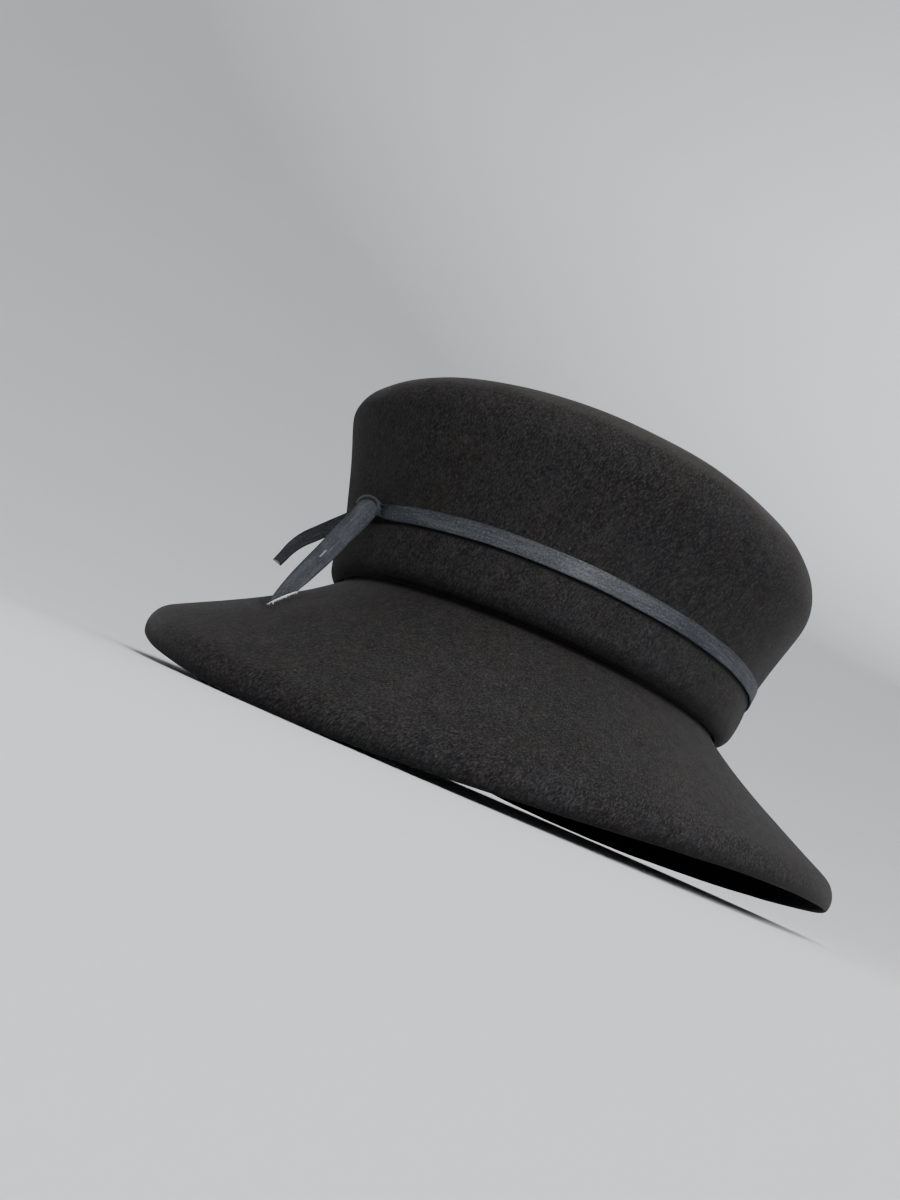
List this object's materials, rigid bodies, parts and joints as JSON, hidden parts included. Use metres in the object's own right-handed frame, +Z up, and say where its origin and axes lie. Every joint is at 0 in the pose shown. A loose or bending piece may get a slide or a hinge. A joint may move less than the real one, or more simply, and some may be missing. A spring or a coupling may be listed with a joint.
{
  "type": "wide-brim hat",
  "caption": "Soft felt hat with a flared flat-topped crown, a rolled base, a wide sloping bell brim and a narrow ribbon knotted at the side.",
  "frame": {"origin": "under the middle of the bounding box, on the surface the rim stands on", "axes": "+Z up through the crown, -Y toward the wearer's front, +X toward the wearer's left"},
  "size_m": [0.2938, 0.341, 0.145],
  "materials": {
    "felt": "matt dark warm-grey wool felt with a short nap",
    "ribbon": "smooth slate-blue ribbon with a soft sheen"
  },
  "bodies": {
    "root": {"crown": "felt", "brim": "felt", "ribbon_band": "ribbon", "ribbon_knot": "ribbon", "ribbon_tail_long": "ribbon", "ribbon_tail_short": "ribbon"}
  },
  "joints": []
}
